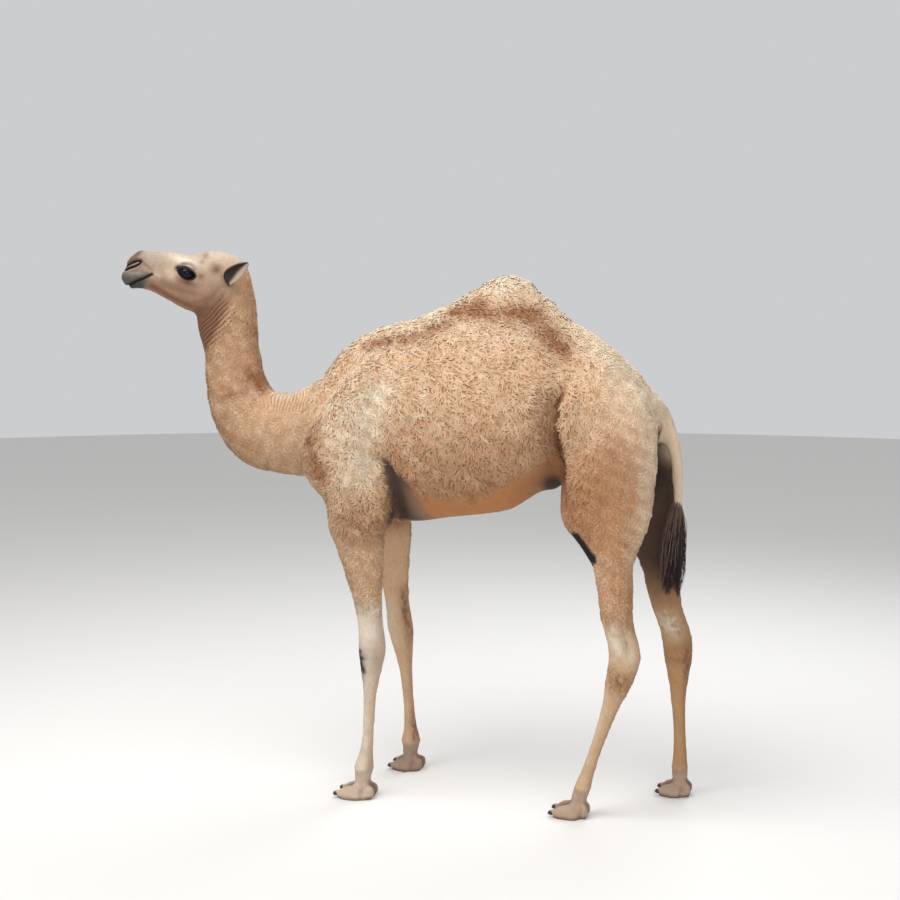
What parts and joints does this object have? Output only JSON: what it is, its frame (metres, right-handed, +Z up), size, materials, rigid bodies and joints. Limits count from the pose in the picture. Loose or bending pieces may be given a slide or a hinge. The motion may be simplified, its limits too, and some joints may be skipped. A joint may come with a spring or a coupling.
{
  "type": "young dromedary camel",
  "caption": "Life-size still model of a young one-humped camel standing with its head turned a little to its left, for scenes, displays and scale.",
  "frame": {"origin": "centre of the bounding box's base, on the floor that all four soles stand on", "axes": "+Z up; -Y is the way the animal faces, from tail to chest; +X its left side"},
  "size_m": [0.4986, 1.8922, 1.7923],
  "materials": {
    "fleece": "short curly woolly coat, dull",
    "short_coat": "short smooth hair, soft sheen",
    "bare_skin": "soft bare skin, dull",
    "eye": "wet and glossy",
    "nail": "smooth horn",
    "tail_hair": "long dark hair, slight sheen"
  },
  "bodies": {
    "root": {"barrel": "fleece", "chest": "fleece", "ear_left": "short_coat", "ear_right": "short_coat", "eye_left": "eye", "eye_right": "eye", "foreleg_left_cannon": "short_coat", "foreleg_left_foot": "bare_skin", "foreleg_left_forearm": "fleece", "foreleg_right_cannon": "short_coat", "foreleg_right_foot": "bare_skin", "foreleg_right_forearm": "fleece", "head": "short_coat", "hindleg_left_cannon": "short_coat", "hindleg_left_foot": "bare_skin", "hindleg_left_shank": "fleece", "hindleg_left_thigh": "fleece", "hindleg_right_cannon": "short_coat", "hindleg_right_foot": "bare_skin", "hindleg_right_shank": "fleece", "hindleg_right_thigh": "fleece", "hump": "fleece", "lower_jaw": "short_coat", "nail_fore_left_left": "nail", "nail_fore_left_right": "nail", "nail_fore_right_left": "nail", "nail_fore_right_right": "nail", "nail_hind_left_left": "nail", "nail_hind_left_right": "nail", "nail_hind_right_left": "nail", "nail_hind_right_right": "nail", "neck_lower": "fleece", "neck_upper": "fleece", "rump": "fleece", "tail": "short_coat", "tail_tuft": "tail_hair"}
  },
  "joints": []
}
